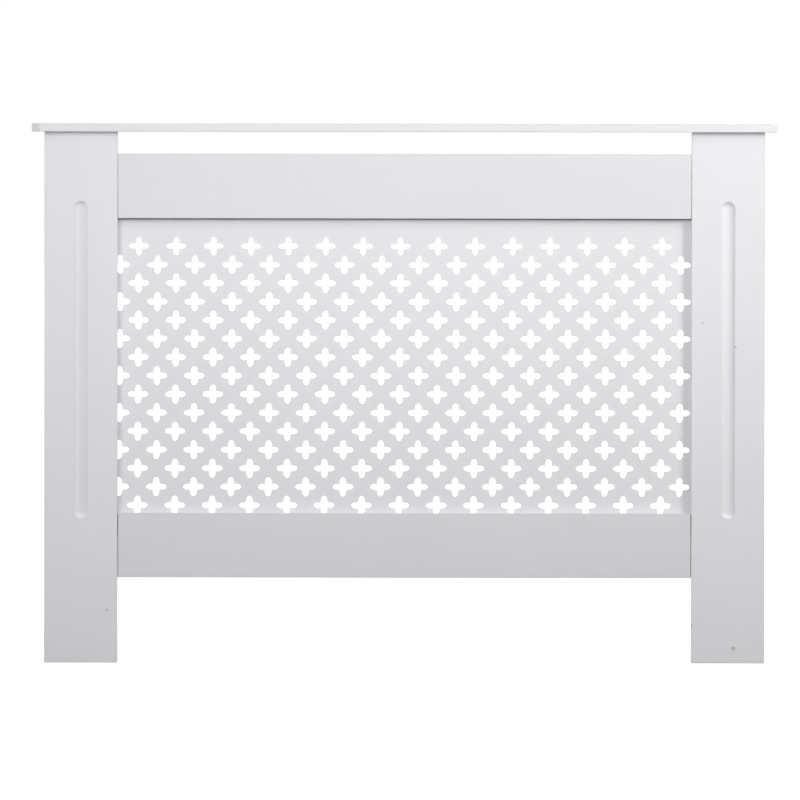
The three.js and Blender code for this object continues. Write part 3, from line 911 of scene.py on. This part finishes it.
beech = beech_wood()
cam_zinc = plated_metal("cam_zinc", (0.50, 0.50, 0.515, 1), 500)
bolt_steel = plated_metal("bolt_steel", zinc_colour, 700)
for node in sorted(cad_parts):
    if not node.endswith(("_cam", "_bolt", "_dowel")):
        continue
    axis, low_end, high_end, middle, radius = fitting_line(node)
    along = np.eye(3)[axis]
    inward = np.array([1.0 if node.startswith("left") or "_left_" in node else -1.0, 0, 0])
    if node.endswith("_cam"):
        joint = "rail" if "rail" in node else "shelf" if "shelf" in node else "side"
        out = np.array([0, 1.0, 0]) if joint == "rail" else inward
        into = {"rail": inward, "shelf": np.array([0, 0, -1.0]), "side": np.array([0, 1.0, 0])}[joint]
        foot = middle * (1 - np.abs(out)) + np.abs(out) * (low_end if out[axis] > 0 else high_end)
        height = high_end - low_end
        cam = fitting_piece(node, cam_surface(height, radius), foot, into, out, cam_zinc)
        cam.modifiers.clear()
        cut_points, cut_faces = cam_cuts(height, radius)
        cut_away(cam, placed(cut_points, foot, into, out), cut_faces, cam_zinc)
        shade(cam)
        continue
    tip = middle * (1 - along) + along * low_end
    way = along
    if node.endswith("_bolt"):
        cam_middle = fitting_line(node.replace("_bolt", "_cam"))[3]
        if cam_middle[axis] < middle[axis]:
            tip, way = middle * (1 - along) + along * high_end, -along
        surface, metal, slot = bolt_surface(high_end - low_end, radius), bolt_steel, "cam_zinc"
    else:
        surface, metal, slot = dowel_surface(high_end - low_end, radius), beech, "beech_dowel"
    fitting_piece(node, surface, tip, np.eye(3)[(axis + 1) % 3], way, metal)

# ---- Shelf ----
# The top board lies on the legs and side panels and stands proud of them in front and at both sides. Its
# two front corners are cut off, and its underside takes the dowels and the cam bolts.
shelf_corner_cut = 12 * mm
shelf_arris = 1.2 * mm

left_x, front_y, back_y = shelf_low[0], shelf_low[1], shelf_high[1]
shelf_corners = [
    (left_x, back_y), (left_x, front_y + shelf_corner_cut), (left_x + shelf_corner_cut, front_y),
    (-left_x - shelf_corner_cut, front_y), (-left_x, front_y + shelf_corner_cut), (-left_x, back_y),
]
points, faces = board_surface(shelf_corners, shelf_high[2] - shelf_low[2], corner_radius, shelf_arris, 4)
shelf_paint = sprayed_paint("shelf_paint", "shelf")
board = new_piece("shelf_board", points + (0, 0, shelf_low[2]), faces, shelf_paint)
bore_board(board, "shelf")
shade(board)
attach(board, "root")
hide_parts("shelf")

# ---- Wall brackets ----
# Two angle brackets bent from 2 mm zinc-plated strip hold the cover to the wall. One leaf of each is
# screwed to the inside of a side panel. The other lies flat on the wall, with a hole for the wall's screw.
bracket_thickness = 2 * mm
bracket_bend = 1 * mm  # radius inside the bend
bracket_end_radius = 5 * mm
wall_hole_radius = 2.75 * mm
wall_hole_setback = 27 * mm  # from the outside of the bend
strip_easing = 0.3 * mm
bracket_lines = 7  # across each leaf's rounded end, and round the bend


def bracket_path(side_leaf, wall_leaf):
    """The strip's middle line in plan, as distances inward from the side panel and forward from the wall:
    down the side leaf, round a quarter circle and out along the wall leaf. Gives the points, the
    directions along it and how far each lies from the nearer end."""
    middle_radius = bracket_bend + bracket_thickness / 2
    reach = bracket_bend + bracket_thickness
    ease = bracket_end_radius * (1 - np.cos(np.linspace(0, math.pi / 2, bracket_lines)))
    half = np.full(bracket_lines, bracket_thickness / 2)
    side = np.stack([half, side_leaf - ease], 1)
    angle = np.linspace(math.pi, 1.5 * math.pi, bracket_lines)
    bend = reach + middle_radius * np.stack([np.cos(angle), np.sin(angle)], 1)
    wall = np.stack([wall_leaf - ease[::-1], half], 1)
    direction = np.concatenate([
        np.tile([[0.0, -1.0]], (bracket_lines, 1)),
        np.stack([-np.sin(angle), np.cos(angle)], 1),
        np.tile([[1.0, 0.0]], (bracket_lines, 1)),
    ])
    from_end = np.concatenate([ease, np.full(bracket_lines, bracket_end_radius), ease[::-1]])
    return np.concatenate([side, bend, wall]), direction, from_end


def bracket_surface(side_leaf, wall_leaf, half_height):
    """The strip's section, a rounded rectangle, carried along its middle line. Near an end it is lower: by
    the end radius less the root of its own square less the square of the way still to go."""
    middles, direction, from_end = bracket_path(side_leaf, wall_leaf)
    half = bracket_thickness / 2
    corners = [(-half, -half_height), (half, -half_height), (half, half_height), (-half, half_height)]
    section, _ = rounded_outline(corners, strip_easing, 3)
    to_go = bracket_end_radius - from_end
    lower = bracket_end_radius - np.sqrt(np.maximum(bracket_end_radius ** 2 - to_go ** 2, 0))
    normal = np.stack([direction[:, 1], -direction[:, 0]], 1)
    plan = middles[:, None] + section[None, :, :1] * normal[:, None]
    return stacked_lines(plan, section[:, 1] - np.sign(section[:, 1]) * lower[:, None])


bracket_steel = plated_metal("bracket_steel", (0.45, 0.46, 0.48, 1), 260)
for hand, sign in (("left", -1), ("right", 1)):
    low, high = box_corners(f"{hand}_wall_bracket")
    size = high - low
    points, faces = bracket_surface(size[1], size[0], size[2] / 2)
    outer_x, wall_y, middle_z = (high if sign > 0 else low)[0], high[1], (low[2] + high[2]) / 2
    points = np.stack([outer_x - sign * points[:, 0], wall_y - points[:, 1], middle_z + points[:, 2]], 1)
    faces = faces if sign < 0 else [face[::-1] for face in faces]
    bracket = new_piece(f"{hand}_bracket_strip", points, faces, bracket_steel)
    hole_points, hole_faces = turned_surface([
        [wall_hole_radius, -overcut], [wall_hole_radius, bracket_thickness + overcut],
    ])
    hole_middle = (outer_x - sign * wall_hole_setback, wall_y, middle_z)
    cut_away(bracket, placed(hole_points, hole_middle, (0, 0, 1), (0, -1, 0)), hole_faces, bracket_steel)
    screw_bore = bore_of(f"{hand}_bracket_screw", low, high)
    cut_away(bracket, *screw_bore, bracket_steel)
    shade(bracket)
    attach(bracket, "root")
    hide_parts(f"{hand}_wall_bracket")
    screw_in(f"{hand}_bracket_screw", (-sign, 0, 0), screw_steel)

# ---- Floor and light ----
# A plain white floor that keeps the cover's soft shadow near it, and soft light from the upper right.
floor_radius = 60.0
floor_sides = 96
floor_white_from = 1.2  # its glow starts to rise at this distance from the middle
floor_white_to = 3.0  # and is full at this one
floor_bounce = 0.35  # the share of the light that it throws back at the cover
floor_tone = 0.45  # the same share as the camera sees it, on top of its glow
floor_glow = 0.73

angle = np.arange(floor_sides) * 2 * math.pi / floor_sides
floor_points = np.stack([floor_radius * np.cos(angle), floor_radius * np.sin(angle), 0 * angle], 1)
floor_material, tree, shader, position = new_material("floor_white")
floor = new_piece("floor", floor_points, [list(range(floor_sides))], floor_material)
shader.inputs["Roughness"].default_value = 0.9
shader.inputs["Specular IOR Level"].default_value = 0.0
from_middle = node_in(tree, "ShaderNodeVectorMath", {0: position}, operation="LENGTH").outputs["Value"]
rays = tree.nodes.new("ShaderNodeLightPath").outputs
seen = math_in(tree, "MAXIMUM", rays["Is Camera Ray"], rays["Is Glossy Ray"])
tone = mixed_in(tree, seen, floor_bounce, floor_tone)
grey = node_in(tree, "ShaderNodeCombineColor", {0: tone, 1: tone, 2: tone}).outputs[0]
tree.links.new(grey, shader.inputs["Base Color"])
shader.inputs["Emission Color"].default_value = (1, 1, 1, 1)
whiter = ramp_in(tree, from_middle, floor_white_from, floor_white_to, floor_glow, 1.0)
tree.links.new(math_in(tree, "MULTIPLY", whiter, seen), shader.inputs["Emission Strength"])

world_light = 0.4
world = bpy.data.worlds.new("studio")
bpy.context.scene.world = world
world.use_nodes = True
tree = world.node_tree
tree.nodes.clear()
rays = tree.nodes.new("ShaderNodeLightPath").outputs
through = math_in(tree, "MAXIMUM", rays["Is Glossy Ray"], rays["Is Transmission Ray"])
seen = math_in(tree, "MAXIMUM", rays["Is Camera Ray"], through)
strength = mixed_in(tree, seen, world_light, 1.0)
backdrop = node_in(tree, "ShaderNodeBackground", {"Color": (1, 1, 1, 1), "Strength": strength})
world_out = tree.nodes.new("ShaderNodeOutputWorld")
tree.links.new(backdrop.outputs[0], world_out.inputs["Surface"])


def softbox(name, place, aim, size, power, colour=(1, 1, 1), spread=180):
    """A square lamp that looks from its place to the point that it is aimed at. A small spread, in degrees,
    holds its light together like the grid of a real one."""
    lamp = bpy.data.objects.new(name, bpy.data.lights.new(name, "AREA"))
    bpy.context.scene.collection.objects.link(lamp)
    lamp.data.size = size
    lamp.data.energy = power
    lamp.data.color = colour
    lamp.data.spread = math.radians(spread)
    lamp.location = place
    lamp.rotation_mode = "QUATERNION"
    lamp.rotation_quaternion = (Vector(aim) - Vector(place)).to_track_quat("-Z", "Y")


warm_white = (1.0, 0.99, 0.968)
cool_white = (0.98, 0.99, 1.0)
softbox("side_key", (1.4, -0.9, 1.08), (0.4, 0, 0.75), 0.4, 9.1, warm_white)
softbox("high_key", (1.9, -1.2, 2.0), (0.3, 0, 0.6), 0.5, 5.6, warm_white)
softbox("left_fill", (-1.25, -1.8, 1.2), (-0.2, 0, 0.7), 1.0, 16, cool_white)
softbox("top_wash", (0.1, -2.6, 1.3), (0, 0, 0.85), 1.0, 1.1, spread=40)
softbox("back_fill", (0, 2.2, 1.6), (0, 0, 0.4), 2.0, 30)

bpy.context.scene.view_settings.view_transform = "Standard"
